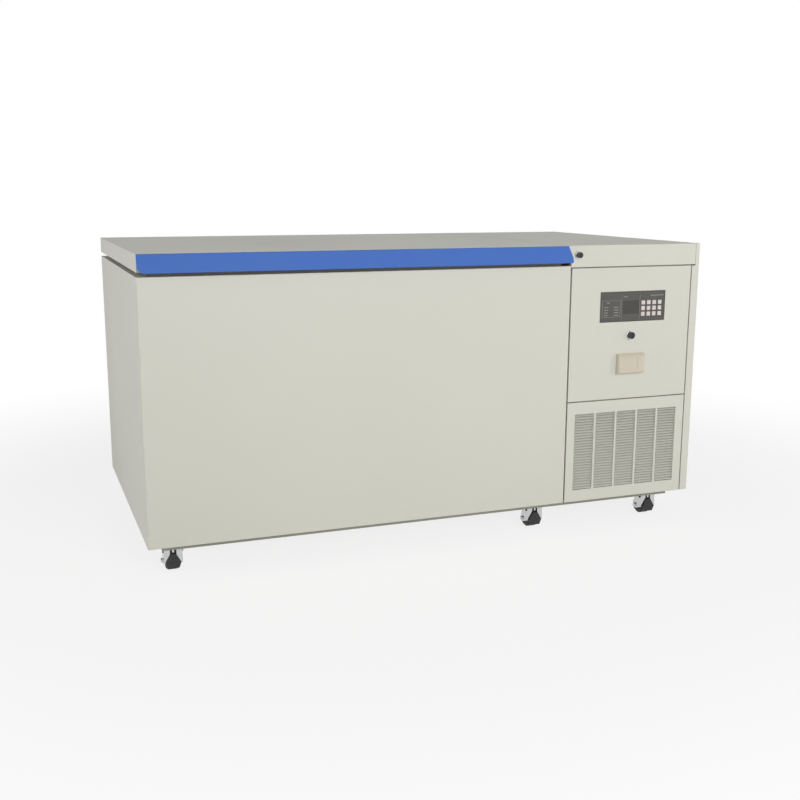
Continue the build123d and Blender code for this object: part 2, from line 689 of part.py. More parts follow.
def rear_panel():
    """Back of the bay, inside the folds of the side panel and cover, with air slots."""
    x0 = SEAM
    x1 = RIGHT - SHEET - SEAT
    panel = block(x0, x1, BACK - 2 * SHEET, BACK - SHEET, BOTTOM, TOP - SHEET - SEAT)
    middle = (x0 + x1) / 2
    for column in range(REAR_SLOT_COLS):
        side = (column - (REAR_SLOT_COLS - 1) / 2) * (REAR_SLOT_W + REAR_COL_GAP)
        for row in range(REAR_SLOTS):
            z = BOTTOM + REAR_SLOT_LOW + row * REAR_SLOT_STEP
            x = middle + side - REAR_SLOT_W / 2
            panel -= block(x, x + REAR_SLOT_W, BACK - 2 * SHEET, BACK - SHEET, z, z + REAR_SLOT_H)
    return panel - rod_y(RIGHT - GLAND_RIGHT, BACK - 2 * SHEET, BACK, BOTTOM + GLAND_Z, GLAND_R)


def key_places():
    """Centre of each key and its row and column."""
    for row in range(KEY_ROWS):
        for column in range(KEY_COLS):
            x = FASCIA_X + FASCIA_W * (KEY_LEFT + column * KEY_STEP)
            z = FASCIA_Z + FASCIA_H * (1 - KEY_TOP - row * KEY_DROP)
            yield row, column, x, z


def window_box(y0, y1):
    """The display window's outline between two depths."""
    x0 = FASCIA_X + FASCIA_W * WINDOW_LEFT
    z1 = FASCIA_Z + FASCIA_H * (1 - WINDOW_TOP)
    return block(x0, x0 + FASCIA_W * WINDOW_W, y0, y1, z1 - FASCIA_H * WINDOW_H, z1)


def control_fascia():
    """Dark plate with square holes for the keys and a recess for the display."""
    x0 = FASCIA_X
    z0 = FASCIA_Z
    y0 = FRONT + FASCIA_SINK
    plate = block(x0, x0 + FASCIA_W, y0, y0 + FASCIA_T, z0, z0 + FASCIA_H)
    half = KEY_W / 2 + KEY_FIT
    y1 = y0 + FASCIA_T
    holes = [block(x - half, x + half, y0, y1, z - half, z + half) for _, _, x, z in key_places()]
    return plate - holes - window_box(y0, y0 + WINDOW_T)


def display_window():
    """Clear pane that fills the fascia's recess."""
    y0 = FRONT + FASCIA_SINK
    return window_box(y0, y0 + WINDOW_T)


def controller_case():
    """Case behind the fascia, with a pocket for the keys and a flange behind the panel."""
    x0 = FASCIA_X
    z0 = FASCIA_Z
    y0 = FRONT + FASCIA_SINK + FASCIA_T
    case = block(x0, x0 + FASCIA_W, y0, y0 + CASE_D, z0, z0 + FASCIA_H)
    edge = KEY_W / 2 + KEY_FLANGE + KEY_FIT
    y1 = y0 + KEY_FLANGE_T + KEY_TRAVEL + SEAT
    pockets = [block(x - edge, x + edge, y0, y1, z - edge, z + edge) for _, _, x, z in key_places()]
    return case - pockets + case_straps(x0, z0)


def case_straps(x0, z0):
    """Two straps that carry the case on the front frame's uprights."""
    y0 = FRAME_BACK
    straps = []
    for z in (z0 + CASE_T, z0 + FASCIA_H - STRAP_W - CASE_T):
        straps.append(block(SEAM, x0, y0, y0 + CASE_T, z, z + STRAP_W))
        straps.append(block(x0 + FASCIA_W, RIGHT - SHEET, y0, y0 + CASE_T, z, z + STRAP_W))
    return straps


def key(x, z):
    """One key: a square cap with rounded edges, and a flange that keeps it behind the fascia."""
    y0 = FRONT + FASCIA_SINK - KEY_PROUD
    back = FRONT + FASCIA_SINK + FASCIA_T + SEAT
    half = KEY_W / 2
    cap = block(x - half, x + half, y0, back, z - half, z + half)
    cap = chamfer(cap.faces().sort_by(Axis.Y)[0].edges(), KEY_PROUD / 2)
    wide = half + KEY_FLANGE
    return cap + block(x - wide, x + wide, back, back + KEY_FLANGE_T, z - wide, z + wide)


def collar(x, z, radius):
    """Chrome collar in front of the panel and the threaded barrel behind it."""
    outer = radius - BARREL_WALL / 2
    ring = rod_y(x, FRONT - COLLAR_PROUD, FRONT, z, radius)
    ring = chamfer(ring.faces().sort_by(Axis.Y)[0].edges(), BARREL_WALL / 2)
    barrel = rod_y(x, FRONT, FRONT + BARREL_L - SEAT, z, outer)
    bore = rod_y(x, FRONT - COLLAR_PROUD, FRONT + BARREL_L, z, outer - BARREL_WALL + PIN_FIT)
    return ring + barrel - bore


def cylinder_plug(x, z, radius):
    """Turning plug of a lock, with a keyway across its face and one flat side."""
    inner = radius - BARREL_WALL / 2 - BARREL_WALL
    y0 = FRONT - COLLAR_PROUD - PLUG_PROUD
    body = rod_y(x, y0, FRONT + BARREL_L, z, inner)
    half = KEYWAY_W / 2
    reach = inner * KEYWAY_SPAN
    return body - block(x - half, x + half, y0, y0 + KEYWAY_DEEP, z - reach, z + reach)


def lid_lock_cylinder():
    """Plug of the lid lock with the cam that swings into the lid's end."""
    x = SEAM + LOCK_X
    z = LOCK_Z
    back = FRONT + BARREL_L
    cam = block(x - CAM_W / 2, x + CAM_W / 2, back, back + CAM_T, z - CAM_L, z + CAM_W / 2)
    return cylinder_plug(x, z, LOCK_R) + cam


def data_logger():
    """Small box on the control panel, with a raised border round its sunk face."""
    x0 = SWITCH_X - LOGGER_W / 2
    z0 = LOGGER_Z - LOGGER_H / 2
    box = block(x0, x0 + LOGGER_W, FRONT - LOGGER_D, FRONT, z0, z0 + LOGGER_H)
    box = chamfer(box.faces().sort_by(Axis.Y)[0].edges(), LOGGER_R)
    face = FRONT - LOGGER_D
    high = z0 + LOGGER_H
    brow = flat((face, high - LOGGER_BROW), (face, high), (face + LOGGER_BROW, high))
    box -= carried_x(brow, x0, x0 + LOGGER_W)
    left = x0 + LOGGER_BORDER
    right = x0 + LOGGER_W - LOGGER_SIDE
    low = z0 + LOGGER_BORDER
    return box - block(left, right, face, face + LOGGER_SINK, low, high - LOGGER_BORDER)


def caster_places():
    """Number, x and y of each swivel axis: front row first, left to right."""
    rows = (FRONT + CASTER_FRONT, BACK - CASTER_BACK)
    places = [(x, y) for y in rows for x in CASTER_X]
    return [(number + 1, x, y) for number, (x, y) in enumerate(places)]


def caster_plate(x, y):
    """Top plate of a caster with its kingpin and the nut under the fork."""
    low = BASE_LOW - PLATE_T
    half = PLATE_W / 2
    plate = rounded(x - half, x + half, y - half, y + half, low, BASE_LOW, CORNER_R)
    nut_top = FORK_TOP - FORK_T - SEAT
    pin = rod_z(x, y, nut_top, low, KINGPIN_R)
    return plate + pin + rod_z(x, y, nut_top - KINGPIN_NUT_T, nut_top, KINGPIN_NUT_R)


def fork_leg(x0, x1, y):
    """One side of the fork: narrow under the crown, reaching back to the axle."""
    axle = y + TRAIL
    foot = WHEEL_R - BOLT_HEAD_R - FORK_T
    points = [
        (y - FORK_FRONT, FORK_TOP),
        (y - FORK_FRONT, LEG_LOW),
        (axle - BOLT_HEAD_R, foot),
        (axle + BOLT_HEAD_R, foot),
        (axle + BOLT_HEAD_R + FORK_T, WHEEL_R + BOLT_HEAD_R),
        (y - FORK_FRONT + LEG_TOP_D, FORK_TOP),
    ]
    return carried_x(filleted(points, [0, 0, FORK_T * 2, FORK_T, FORK_T, 0]), x0, x1)


def fork_flange(x, y, side):
    """Folded front edge of one leg, cut back along the pedal's slope."""
    half = FORK_W / 2
    points = [
        (x + side * FORK_SLOT, FORK_TOP),
        (x + side * half, FORK_TOP),
        (x + side * half, LEG_LOW),
        (x + side * (half - FORK_T), LEG_LOW),
        (x + side * FORK_SLOT, FLANGE_LOW),
    ]
    return carried_y(flat(*points), y - FORK_FRONT, y - FORK_FRONT + FORK_T)


def caster_fork(x, y):
    """Pressed fork with its swivel race, and the axle bolt through both legs."""
    half = FORK_W / 2
    front = y - FORK_FRONT
    top = block(x - half, x + half, front, y + FORK_REAR, FORK_TOP - FORK_T, FORK_TOP)
    race = rod_z(x, y, FORK_TOP, BASE_LOW - PLATE_T - SEAT, RACE_R)
    legs = [fork_leg(x - half, x - half + FORK_T, y), fork_leg(x + half - FORK_T, x + half, y)]
    flanges = [fork_flange(x, y, -1), fork_flange(x, y, 1)]
    tongue = block(x - TONGUE_W / 2, x + TONGUE_W / 2, front, front + FORK_T, TONGUE_LOW, FORK_TOP)
    fork = top + race + legs + flanges + tongue
    fork -= rod_z(x, y, FORK_TOP - FORK_T, BASE_LOW, KINGPIN_R + PIN_FIT)
    fork -= rod_x(x - half, x + half, y - PEDAL_PIVOT_Y, PEDAL_PIVOT_Z, PEDAL_PIN_R + PIN_FIT)
    axle = rod_x(x - half, x + half, y + TRAIL, WHEEL_R, AXLE_R)
    head = Rot(0, 90, 0) * extrude(RegularPolygon(BOLT_HEAD_R, 6), BOLT_HEAD_T / 2, both=True)
    for head_x in (x - half - BOLT_HEAD_T / 2, x + half + BOLT_HEAD_T / 2):
        axle += Pos(head_x, y + TRAIL, WHEEL_R) * head
    return fork + axle


def caster_wheel(x, y):
    """Broad black wheel with chamfered tread edges and hub bosses that keep it central."""
    half = WHEEL_W / 2
    boss = FORK_W / 2 - FORK_T - SEAT
    centre_y = y + TRAIL
    tread = rod_x(x - half, x + half, centre_y, WHEEL_R, WHEEL_R)
    tread = chamfer(tread.edges().filter_by(GeomType.CIRCLE), WHEEL_CHAMFER)
    hub = rod_x(x - boss, x + boss, centre_y, WHEEL_R, WHEEL_HUB_R)
    return tread + hub - rod_x(x - boss, x + boss, centre_y, WHEEL_R, AXLE_R + PIN_FIT)


def brake_pedal(x, y):
    """Five sided foot pedal hung from two pins, with the shoe that bears on the wheel."""
    pivot_y = y - PEDAL_PIVOT_Y
    inner = FORK_W / 2 - FORK_T - SEAT
    pin = FORK_W / 2 + PEDAL_PIN_PROUD
    hub = rod_x(x - inner, x + inner, pivot_y, PEDAL_PIVOT_Z, PEDAL_HUB_R)
    hub += rod_x(x - pin, x + pin, pivot_y, PEDAL_PIVOT_Z, PEDAL_PIN_R)
    face = y - FORK_FRONT - PEDAL_T
    points = [
        (x - PEDAL_NECK, PEDAL_TOP),
        (x + PEDAL_NECK, PEDAL_TOP),
        (x + PEDAL_WIDE, PEDAL_WIDE_Z),
        (x + PEDAL_FOOT, PEDAL_LOW),
        (x - PEDAL_FOOT, PEDAL_LOW),
        (x - PEDAL_WIDE, PEDAL_WIDE_Z),
    ]
    plate = carried_y(flat(*points), face - PEDAL_T, face)
    left = x - PEDAL_NECK
    right = x + PEDAL_NECK
    rear = pivot_y + PEDAL_HUB_R
    neck = block(left, right, face - PEDAL_T, rear, PEDAL_TOP - PEDAL_T, PEDAL_TOP)
    hanger = block(left, right, pivot_y - PEDAL_HUB_R, rear, PEDAL_TOP - PEDAL_T, PEDAL_PIVOT_Z)
    return hub + plate + neck + hanger + brake_shoe(x, y)


def brake_shoe(x, y):
    """Arm that swings to point at the axle when the brake is on, its end just off the tread."""
    run = PEDAL_PIVOT_Y + TRAIL
    drop = PEDAL_PIVOT_Z - WHEEL_R
    length = math.hypot(run, drop) - WHEEL_R - SHOE_GAP
    tilt = math.degrees(math.atan2(run, drop)) + BRAKE_SWING_DEG
    arm = Box(2 * PEDAL_NECK, SHOE_T, length)
    return Pos(x, y - PEDAL_PIVOT_Y, PEDAL_PIVOT_Z) * Rot(tilt, 0, 0) * Pos(0, 0, -length / 2) * arm


def condenser():
    """Finned block on the bay's floor behind the louvre, with return bends at its left end."""
    x0 = (SEAM + RIGHT - CONDENSER_W) / 2
    y0 = FRAME_BACK + CONDENSER_GAP
    high = BAY_FLOOR + CONDENSER_H
    core = block(x0, x0 + CONDENSER_W, y0, y0 + CONDENSER_D, BAY_FLOOR, high)
    step = CONDENSER_W / FIN_COUNT
    for fin in range(FIN_COUNT):
        x = x0 + (fin + FIN_GAP / 2) * step
        for front in (y0, y0 + CONDENSER_D - FIN_GROOVE):
            core -= block(x, x + FIN_GAP * step, front, front + FIN_GROOVE, BAY_FLOOR, high)
    bends = []
    row_step = CONDENSER_H / TUBE_ROWS
    for row in range(TUBE_ROWS):
        z = BAY_FLOOR + (row + 1 / 2) * row_step
        bends.append(return_bend(x0, y0 + CONDENSER_D / 2, z, row_step / 2))
    return core, bends


def return_bend(x, y, z, rise):
    """Half turn of tube that joins two rows outside the end plate."""
    ring = Pos(x, y, z) * Rot(90, 0, 0) * Torus(rise / 2, TUBE_R)
    return ring & block(x - rise, x, y - rise, y + rise, z - rise, z + rise)


def fan_centre():
    """X and Z of the fan's axis, in the middle of the condenser."""
    return (SEAM + RIGHT) / 2, BAY_FLOOR + CONDENSER_H / 2


def fan_shroud():
    """Box behind the condenser with a round mouth, two struts and the motor they carry."""
    x, z = fan_centre()
    y0 = FRAME_BACK + CONDENSER_GAP + CONDENSER_D
    y1 = y0 + SHROUD_D
    x0 = x - CONDENSER_W / 2
    x1 = x + CONDENSER_W / 2
    high = BAY_FLOOR + CONDENSER_H
    shroud = block(x0, x1, y0, y1, BAY_FLOOR, high)
    shroud -= block(x0 + SHROUD_T, x1 - SHROUD_T, y0, y1 - SHROUD_T, BAY_FLOOR + SHROUD_T, high - SHROUD_T)
    mouth = FAN_R + FAN_RING_GAP
    shroud += rod_y(x, y1 - SHROUD_D / 2, y1, z, mouth + SHROUD_T)
    shroud -= rod_y(x, y1 - SHROUD_D / 2, y1, z, mouth)
    for side in (-1, 1):
        strut_x = x + side * (MOTOR_R - STRUT_W / 2)
        reach = mouth + STRUT_W
        half = STRUT_W / 2
        shroud += block(strut_x - half, strut_x + half, y1, y1 + SHROUD_T, z - reach, z + reach)
    motor = rod_y(x, y1 + SHROUD_T, y1 + SHROUD_T + MOTOR_L, z, MOTOR_R)
    shaft = rod_y(x, y1 - FAN_DEPTH, y1 + SHROUD_T, z, MOTOR_SHAFT_R)
    plate = block(x - MOTOR_R, x + MOTOR_R, y1, y1 + SHROUD_T, z - MOTOR_R, z + MOTOR_R)
    return shroud + plate + motor + shaft


def condenser_fan():
    """Hub with inclined blades, turning on the motor's shaft."""
    x, z = fan_centre()
    y1 = FRAME_BACK + CONDENSER_GAP + CONDENSER_D + SHROUD_D - SEAT
    y0 = y1 - FAN_DEPTH + 2 * SEAT
    fan = rod_y(x, y0, y1, z, FAN_HUB_R)
    middle = (y0 + y1) / 2
    chord = (y1 - y0) / math.sin(math.radians(FAN_PITCH_DEG)) * FAN_CHORD
    length = FAN_R - FAN_HUB_R + 2 * FAN_ROOT
    blade = Rot(FAN_PITCH_DEG, 0, 0) * Box(length, FAN_BLADE_T, chord)
    blade = Pos((FAN_R + FAN_HUB_R) / 2, 0, 0) * blade
    for number in range(FAN_BLADES):
        turned = Rot(0, number * 360 / FAN_BLADES, 0) * blade
        fan += Pos(x, middle, z) * turned
    fan &= rod_y(x, y0, y1, z, FAN_R)
    return fan - rod_y(x, y0, y1, z, MOTOR_SHAFT_R + PIN_FIT)


def compressor_rows():
    """Y of the front and the rear compressor."""
    rear = BACK - COMPRESSOR_BACK
    return rear - COMPRESSOR_STEP, rear


def compressor(x, y):
    """Welded dome on a base plate that stands on four rubber grommets."""
    base = BAY_FLOOR + COMPRESSOR_FOOT
    low = base + COMPRESSOR_BASE_T
    dome = COMPRESSOR_R / 2
    can = rod_z(x, y, low, low + COMPRESSOR_H, COMPRESSOR_R)
    can = fillet(can.edges().filter_by(GeomType.CIRCLE).sort_by(Axis.Z)[-1], dome)
    band = low + COMPRESSOR_H / 2
    can += rod_z(x, y, band - BAND_H, band, COMPRESSOR_R + BAND_PROUD)
    plate = rounded(
        x - COMPRESSOR_R, x + COMPRESSOR_R, y - COMPRESSOR_R, y + COMPRESSOR_R, base, low, GROMMET_R
    )
    feet = []
    reach = COMPRESSOR_R - GROMMET_R - GROMMET_INSET
    for foot_x in (x - reach, x + reach):
        for foot_y in (y - reach, y + reach):
            feet.append(rod_z(foot_x, foot_y, BAY_FLOOR, base, GROMMET_R))
    return can + plate + feet


def pipe(points):
    """Round tube along straight runs joined by arcs, tighter where a run is short."""
    runs = [math.dist(start, end) for start, end in zip(points, points[1:])]
    path = FilletPolyline(*points, radius=min(PIPE_BEND, min(runs) * PIPE_BEND_SHARE))
    start = Plane(path @ 0, z_dir=path % 0)
    return sweep(start * Circle(PIPE_R), path=path)


def pipework():
    """Discharge, suction and liquid lines, with the filter drier in the liquid line."""
    x = COMPRESSOR_X
    front_y, rear_y = compressor_rows()
    port_y = BACK - PORT_BACK
    face = SEAM - WALL + LINER + COIL_T
    top = BAY_FLOOR + COMPRESSOR_FOOT + COMPRESSOR_BASE_T + COMPRESSOR_H
    over = top + PIPE_RISE
    high = over + LINE_STEP
    suction_z = BOTTOM + PORT_Z
    liquid_z = suction_z + COIL_STEP
    wall_x = SEAM + 2 * PIPE_BEND
    liquid_x = x + COMPRESSOR_R
    condenser_top = BAY_FLOOR + CONDENSER_H
    condenser_y = FRAME_BACK + CONDENSER_GAP + CONDENSER_D / 2
    discharge = pipe(
        [(x, front_y, top), (x, front_y, over), (x, condenser_y, over), (x, condenser_y, condenser_top)]
    )
    suction = pipe(
        [
            (face, port_y, suction_z),
            (wall_x, port_y, suction_z),
            (wall_x, rear_y, suction_z),
            (wall_x, rear_y, over),
            (x, rear_y, over),
            (x, rear_y, top),
        ]
    )
    liquid = pipe(
        [
            (face, port_y, liquid_z),
            (wall_x, port_y, liquid_z),
            (wall_x, port_y, high),
            (liquid_x, port_y, high),
            (liquid_x, condenser_y, high),
            (liquid_x, condenser_y, condenser_top),
        ]
    )
    middle = (port_y + condenser_y) / 2
    drier = rod_y(liquid_x, middle - FILTER_L / 2, middle + FILTER_L / 2, high, FILTER_R)
    return discharge, suction, liquid + drier


def power_gland():
    """Cord gland in the rear panel: hexagon, dome and the bore for the cord."""
    x = RIGHT - GLAND_RIGHT
    z = BOTTOM + GLAND_Z
    y0 = BACK - 2 * SHEET
    hexagon = Rot(-90, 0, 0) * extrude(RegularPolygon(GLAND_HEX_R, 6), GLAND_L / 2)
    hexagon = Pos(x, BACK - SHEET, z) * hexagon
    body = rod_y(x, y0 - GLAND_L / 2, BACK - SHEET + GLAND_L, z, GLAND_R)
    body = chamfer(body.edges().filter_by(GeomType.CIRCLE).sort_by(Axis.Y)[-1], GLAND_NOSE)
    return body + hexagon - rod_y(x, y0 - GLAND_L / 2, BACK - SHEET + GLAND_L, z, GLAND_BORE_R)


def build():
    """Write every node."""
    os.makedirs("parts", exist_ok=True)
    coil = evaporator_coil()
    save("outer_shell", outer_shell())
    save("throat_frame", throat_frame())
    save("inner_liner", inner_liner())
    save("evaporator_coil", coil)
    save("insulation_foam", insulation_foam(coil))
    save("lid_shell", lid_shell())
    save("lid_inner_panel", lid_inner_panel())
    save("lid_foam", lid_foam())
    save("lid_gasket", lid_gasket())
    save("lid_handle", lid_handle())
    save("hinge_brackets", *[hinge_bracket(x) for x in hinge_places()])
    save("hinge_arms", *[hinge_arm(x) for x in hinge_places()])
    save("base_frame", base_frame())
    save("front_frame", front_frame())
    save("side_panel", side_panel())
    save("top_cover", top_cover())
    save("control_panel", control_panel())
    save("front_grille_panel", front_grille_panel())
    save("rear_panel", rear_panel())
    save("control_fascia", control_fascia())
    save("display_window", display_window())
    save("controller_case", controller_case())
    for row, column, x, z in key_places():
        save(f"key_{row + 1}_{column + 1}", key(x, z))
    switch = (SWITCH_X, SWITCH_Z, SWITCH_R)
    lock = (SEAM + LOCK_X, LOCK_Z, LOCK_R)
    save("lock_collars", collar(*switch), collar(*lock))
    save("power_key_cylinder", cylinder_plug(*switch))
    save("lid_lock_cylinder", lid_lock_cylinder())
    save("data_logger", data_logger())
    plates = []
    for number, x, y in caster_places():
        plates.append(caster_plate(x, y))
        save(f"caster_fork_{number}", caster_fork(x, y))
        save(f"caster_wheel_{number}", caster_wheel(x, y))
        if y < 0:
            save(f"brake_pedal_{number}", brake_pedal(x, y))
    save("caster_plates", *plates)
    core, bends = condenser()
    save("condenser", core, *bends)
    save("fan_shroud", fan_shroud())
    save("condenser_fan", condenser_fan())
    save("compressors", *[compressor(COMPRESSOR_X, y) for y in compressor_rows()])
    save("pipework", *pipework())
    save("power_gland", power_gland())


build()
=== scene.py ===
# %% [markdown]
# This file dresses a chest freezer for very low temperatures, as used in laboratories. Its bare
# solids come in ready made, each one at its place, with hinges, locks, wheels and keys that move.
# What is left for Blender is what makes it look real: the paint, steel and plastic finishes, the
# printed marks on the control panel and the light. Everything is in metres.

# %% Load the frame
import math

import bpy
import numpy as np
from mathutils import Matrix, Vector


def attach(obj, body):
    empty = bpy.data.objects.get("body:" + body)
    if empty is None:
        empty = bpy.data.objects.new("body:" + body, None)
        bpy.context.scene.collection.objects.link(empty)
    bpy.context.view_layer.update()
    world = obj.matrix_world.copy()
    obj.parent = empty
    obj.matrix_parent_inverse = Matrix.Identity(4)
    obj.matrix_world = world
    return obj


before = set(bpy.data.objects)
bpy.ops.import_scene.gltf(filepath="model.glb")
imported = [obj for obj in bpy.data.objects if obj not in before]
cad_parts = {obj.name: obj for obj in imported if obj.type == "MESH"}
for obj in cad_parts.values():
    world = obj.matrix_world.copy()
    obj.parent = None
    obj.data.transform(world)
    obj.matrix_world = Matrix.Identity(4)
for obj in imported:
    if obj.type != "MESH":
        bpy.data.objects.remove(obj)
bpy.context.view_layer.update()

# %% [markdown]
# The camera comes first, because every later look is judged through it. It stands at the left,
# a little over the lid's height, and looks slightly down. A camera could be aimed by eye, but here
# its place and its turn were worked out from the freezer's own corners in the picture, so that
# the far side narrows by the right amount.

# %% Camera
CAMERA_PLACE = Vector((-1.32628, -3.61442, 1.17817))
YAW = 0.3622
PITCH = 0.1987
ROLL = 0.0029

ahead = Vector((math.sin(YAW) * math.cos(PITCH), math.cos(YAW) * math.cos(PITCH), -math.sin(PITCH)))
right = Vector((math.cos(YAW), -math.sin(YAW), 0.0))
up = right.cross(ahead)
turned_right = right * math.cos(ROLL) + up * math.sin(ROLL)
turned_up = up * math.cos(ROLL) - right * math.sin(ROLL)

camera_data = bpy.data.cameras.new("camera")
camera_data.sensor_width = 36.0
camera_data.lens = 47.32
camera = bpy.data.objects.new("camera", camera_data)
turn = Matrix((turned_right, turned_up, -ahead)).transposed()
camera.matrix_world = Matrix.Translation(CAMERA_PLACE) @ turn.to_4x4()
bpy.context.scene.collection.objects.link(camera)
bpy.context.scene.camera = camera

# %% [markdown]
# All new pieces are surfaces worked out with numpy. One function turns arrays of points and faces
# into a mesh. A second one makes many small blocks at once from their lowest and highest corners,
# which suits printed lines and marks.

# %% Mesh helpers
def add_piece(name, points, faces, body, material):
    """Puts arrays of points and faces into a mesh whose object sits at the origin."""
    mesh = bpy.data.meshes.new(name)
    mesh.from_pydata(points.tolist(), [], [list(face) for face in faces])
    mesh.polygons.foreach_set("use_smooth", [False] * len(mesh.polygons))
    mesh.materials.append(material)
    mesh.update()
    piece = bpy.data.objects.new(name, mesh)
    bpy.context.scene.collection.objects.link(piece)
    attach(piece, body)
    return piece


def block_arrays(low, high):
    """Corner = low + pattern * (high - low), with the eight patterns of 0 and 1, for every block."""
    low = np.atleast_2d(np.asarray(low, float))
    high = np.atleast_2d(np.asarray(high, float))
    pattern = np.array([(i & 1, i >> 1 & 1, i >> 2 & 1) for i in range(8)], float)
    points = (low[:, None] + pattern[None] * (high - low)[:, None]).reshape(-1, 3)
    sides = np.array([(0, 2, 3, 1), (4, 5, 7, 6), (0, 1, 5, 4), (2, 6, 7, 3), (0, 4, 6, 2), (1, 3, 7, 5)])
    faces = (sides[None] + 8 * np.arange(len(low))[:, None, None]).reshape(-1, 4)
    return points, faces


print("helpers ready")

# %% [markdown]
# A finish is more than its colour. Powder coat has a faint orange peel and a long soft drift of tone,
# and a lighter line is painted along its folded edges as a highlight. Several finishes share these effects,
# so each is a node group that gives out colours, masks and heights. The shader itself stays in every
# material. The groups read Object coordinates, which are metres on the freezer itself.

# %% Node groups
def linear(red, green, blue):
    """A colour given as 0 to 255 display values, as the linear values that a shader wants."""
    share = np.array((red, green, blue), float) / 255
    bent = np.where(share <= 0.04045, share / 12.92, ((share + 0.055) / 1.055) ** 2.4)
    return (*bent.tolist(), 1.0)


def new_group(name, inputs, outputs):
    """An empty node group with named sockets."""
    group = bpy.data.node_groups.new(name, "ShaderNodeTree")
    for label, kind, value in inputs:
        socket = group.interface.new_socket(name=label, in_out="INPUT", socket_type=kind)
        socket.default_value = value
    for label, kind in outputs:
        group.interface.new_socket(name=label, in_out="OUTPUT", socket_type=kind)
    start = group.nodes.new("NodeGroupInput")
    end = group.nodes.new("NodeGroupOutput")
    return group, start, end


def node(tree, kind, **settings):
    """A node with its settings, where a setting named in_N or in_Name fills an input."""
    made = tree.nodes.new(kind)
    for label, value in settings.items():
        if label.startswith("in_"):
            key = label[3:].replace("_", " ")
            made.inputs[int(key) if key.isdigit() else key].default_value = value
        else:
            setattr(made, label, value)
    return made


def tone_group():
    """Colour = base * (1 + spread * (drift - 0.5)), where drift is a soft noise over the piece."""
    sockets = [("Base", "NodeSocketColor", (0.5, 0.5, 0.5, 1)), ("Spread", "NodeSocketFloat", 0.1)]
    sockets += [("Scale", "NodeSocketFloat", 3.0), ("Rough low", "NodeSocketFloat", 0.4)]
    sockets += [("Rough high", "NodeSocketFloat", 0.5)]
    outputs = [("Color", "NodeSocketColor"), ("Roughness", "NodeSocketFloat")]
    group, start, end = new_group("tone_drift", sockets, outputs)
    place = node(group, "ShaderNodeTexCoord")
    noise = node(group, "ShaderNodeTexNoise", in_Detail=3.0, in_Roughness=0.55)
    span = node(group, "ShaderNodeMapRange", in_1=0.25, in_2=0.75, in_3=-0.5, in_4=0.5)
    gain = node(group, "ShaderNodeMath", operation="MULTIPLY_ADD", in_2=1.0)
    tint = node(group, "ShaderNodeMix", data_type="RGBA", blend_type="MULTIPLY", in_0=1.0)
    rough = node(group, "ShaderNodeMapRange", in_1=0.3, in_2=0.7)
    link = group.links.new
    link(place.outputs["Object"], noise.inputs["Vector"])
    link(start.outputs["Scale"], noise.inputs["Scale"])
    link(noise.outputs["Fac"], span.inputs[0])
    link(span.outputs[0], gain.inputs[0])
    link(start.outputs["Spread"], gain.inputs[1])
    link(start.outputs["Base"], tint.inputs[6])
    link(gain.outputs[0], tint.inputs[7])
    link(tint.outputs[2], end.inputs["Color"])
    link(noise.outputs["Fac"], rough.inputs[0])
    link(start.outputs["Rough low"], rough.inputs[3])
    link(start.outputs["Rough high"], rough.inputs[4])
    link(rough.outputs[0], end.inputs["Roughness"])
    return group


def grain_group():
    """Height = fine noise on coordinates stretched by Stretch, for orange peel or brushed lines."""
    sockets = [("Scale", "NodeSocketFloat", 700.0), ("Stretch", "NodeSocketVector", (1, 1, 1))]
    group, start, end = new_group("fine_grain", sockets, [("Height", "NodeSocketFloat")])
    place = node(group, "ShaderNodeTexCoord")
    scaled = node(group, "ShaderNodeVectorMath", operation="MULTIPLY")
    noise = node(group, "ShaderNodeTexNoise", in_Detail=2.0)
    link = group.links.new
    link(place.outputs["Object"], scaled.inputs[0])
    link(start.outputs["Stretch"], scaled.inputs[1])
    link(scaled.outputs[0], noise.inputs["Vector"])
    link(start.outputs["Scale"], noise.inputs["Scale"])
    link(noise.outputs["Fac"], end.inputs["Height"])
    return group


def edge_group():
    """Mask = how far the rounded normal leans from the flat one, so that a highlight is painted along
    edges.
    """
    sockets = [("Radius", "NodeSocketFloat", 0.001), ("Gain", "NodeSocketFloat", 3.0)]
    outputs = [("Mask", "NodeSocketFloat"), ("Normal", "NodeSocketVector")]
    group, start, end = new_group("edge_highlight_and_normal", sockets, outputs)
    bevel = node(group, "ShaderNodeBevel", samples=4)
    flat = node(group, "ShaderNodeNewGeometry")
    dot = node(group, "ShaderNodeVectorMath", operation="DOT_PRODUCT")
    lean = node(group, "ShaderNodeMath", operation="SUBTRACT", in_0=1.0)
    gain = node(group, "ShaderNodeMath", operation="MULTIPLY", use_clamp=True)
    link = group.links.new
    link(start.outputs["Radius"], bevel.inputs["Radius"])
    link(bevel.outputs[0], dot.inputs[0])
    link(flat.outputs["Normal"], dot.inputs[1])
    link(dot.outputs["Value"], lean.inputs[1])
    link(lean.outputs[0], gain.inputs[0])
    link(start.outputs["Gain"], gain.inputs[1])
    link(gain.outputs[0], end.inputs["Mask"])
    link(bevel.outputs[0], end.inputs["Normal"])
    return group


